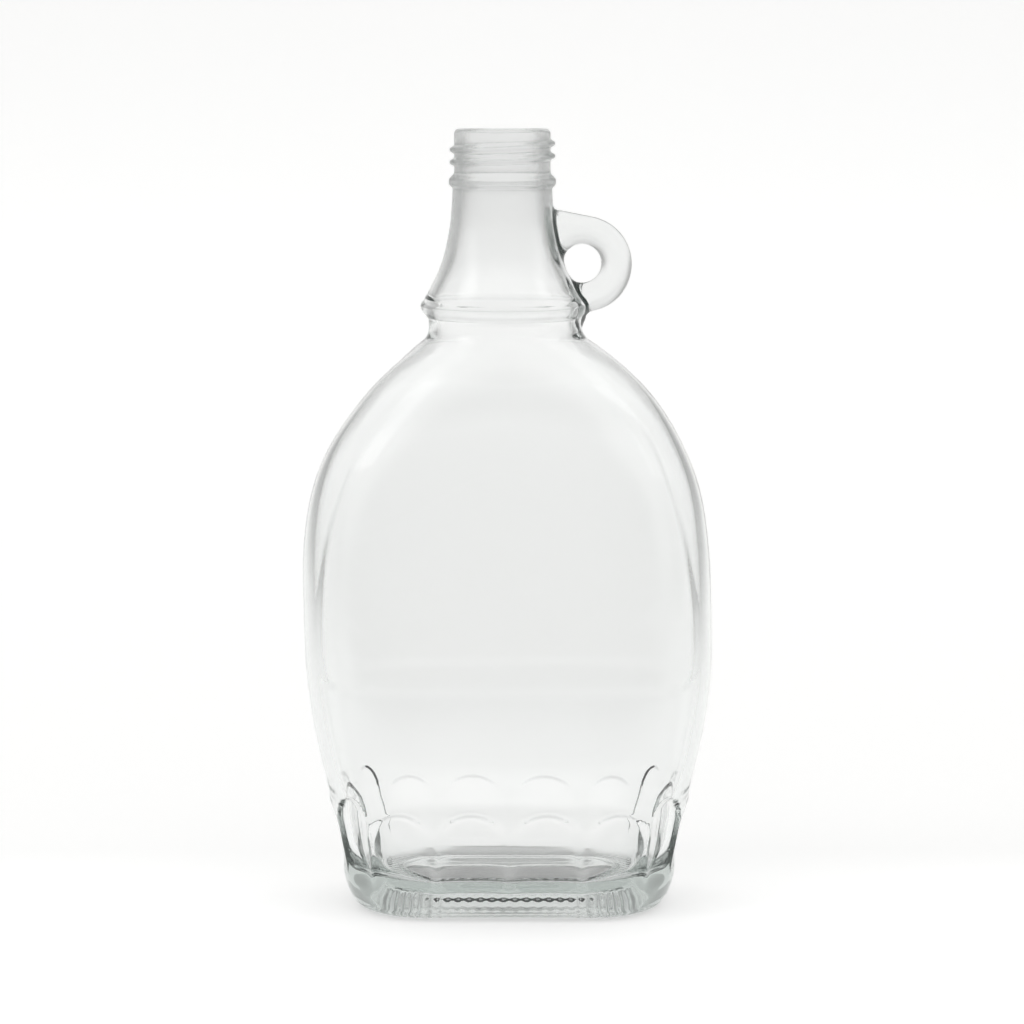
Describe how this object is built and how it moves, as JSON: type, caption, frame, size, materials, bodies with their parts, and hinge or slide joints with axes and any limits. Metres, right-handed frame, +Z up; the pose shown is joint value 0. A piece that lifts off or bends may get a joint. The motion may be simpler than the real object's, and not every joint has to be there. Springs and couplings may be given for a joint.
{
  "type": "glass syrup flask",
  "caption": "Flat-faced oval flask of clear glass with a flared neck, a collar, a small finger loop and a screw thread at the mouth, empty and without a cap.",
  "frame": {"origin": "middle of the outer box at the level of the foot ring, on the surface that the flask stands on", "axes": "+Z up, the broad label face looks along -Y, and the finger loop is on +X"},
  "size_m": [0.1067, 0.0562, 0.2027],
  "materials": {
    "soda_lime_glass": "clear, fire-polished, with a faint green tint where it is thick"
  },
  "bodies": {
    "root": {"flask": "soda_lime_glass"}
  },
  "joints": []
}
